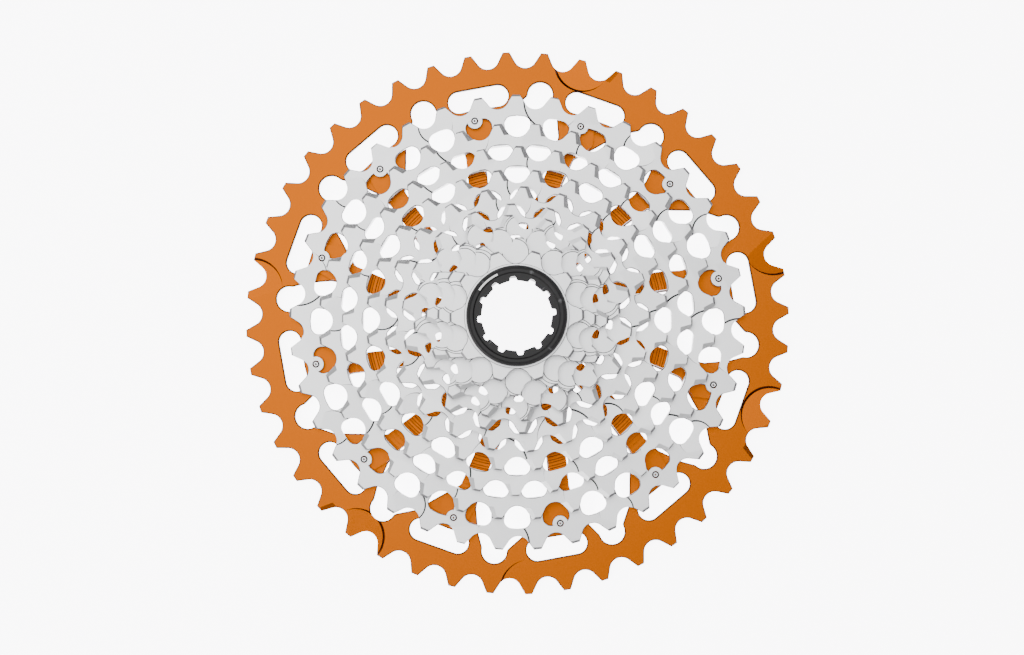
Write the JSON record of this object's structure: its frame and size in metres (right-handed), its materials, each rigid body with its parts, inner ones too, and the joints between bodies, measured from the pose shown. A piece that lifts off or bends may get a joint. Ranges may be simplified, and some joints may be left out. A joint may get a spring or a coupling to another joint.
{
  "type": "cassette sprocket",
  "caption": "Bicycle rear cassette: a large orange aluminium sprocket with a spider carries a stepped dome of smaller steel sprockets, closed by a black lock ring.",
  "frame": {"origin": "on the sprockets' common axis, in the plane of the largest sprocket's rear face, which the part lies on", "axes": "+Z along the axis towards the smallest sprocket and the lock ring"},
  "size_m": [0.1808, 0.1808, 0.044],
  "materials": {
    "orange_alloy": "orange anodised, satin",
    "satin_steel": "satin nickel-plated machined steel",
    "pin_steel": "turned steel",
    "spring_steel": "dark spring steel",
    "black_alloy": "black anodised, satin"
  },
  "bodies": {
    "cassette": {"sprocket_44t": "orange_alloy", "sprocket_37t": "satin_steel", "sprocket_32t": "satin_steel", "sprocket_28t": "satin_steel", "sprocket_24t": "satin_steel", "sprocket_21t": "satin_steel", "sprocket_18t": "satin_steel", "sprocket_16t": "satin_steel", "sprocket_14t": "satin_steel", "sprocket_12t": "satin_steel", "sprocket_10t": "satin_steel", "rivet_pin_01": "pin_steel", "rivet_pin_02": "pin_steel", "rivet_pin_03": "pin_steel", "rivet_pin_04": "pin_steel", "rivet_pin_05": "pin_steel", "rivet_pin_06": "pin_steel", "rivet_pin_07": "pin_steel", "rivet_pin_08": "pin_steel", "rivet_pin_09": "pin_steel", "rivet_pin_10": "pin_steel", "rivet_pin_11": "pin_steel", "rivet_pin_12": "pin_steel", "thrust_washer": "satin_steel"},
    "lock": {"lock_ring": "black_alloy", "snap_ring": "spring_steel"}
  },
  "joints": [
    {"name": "lock_ring_turn", "type": "hinge", "parent": "cassette", "child": "lock", "pos_m": [0, 0, 0.042], "axis": [0, 0, 1], "continuous": true}
  ]
}
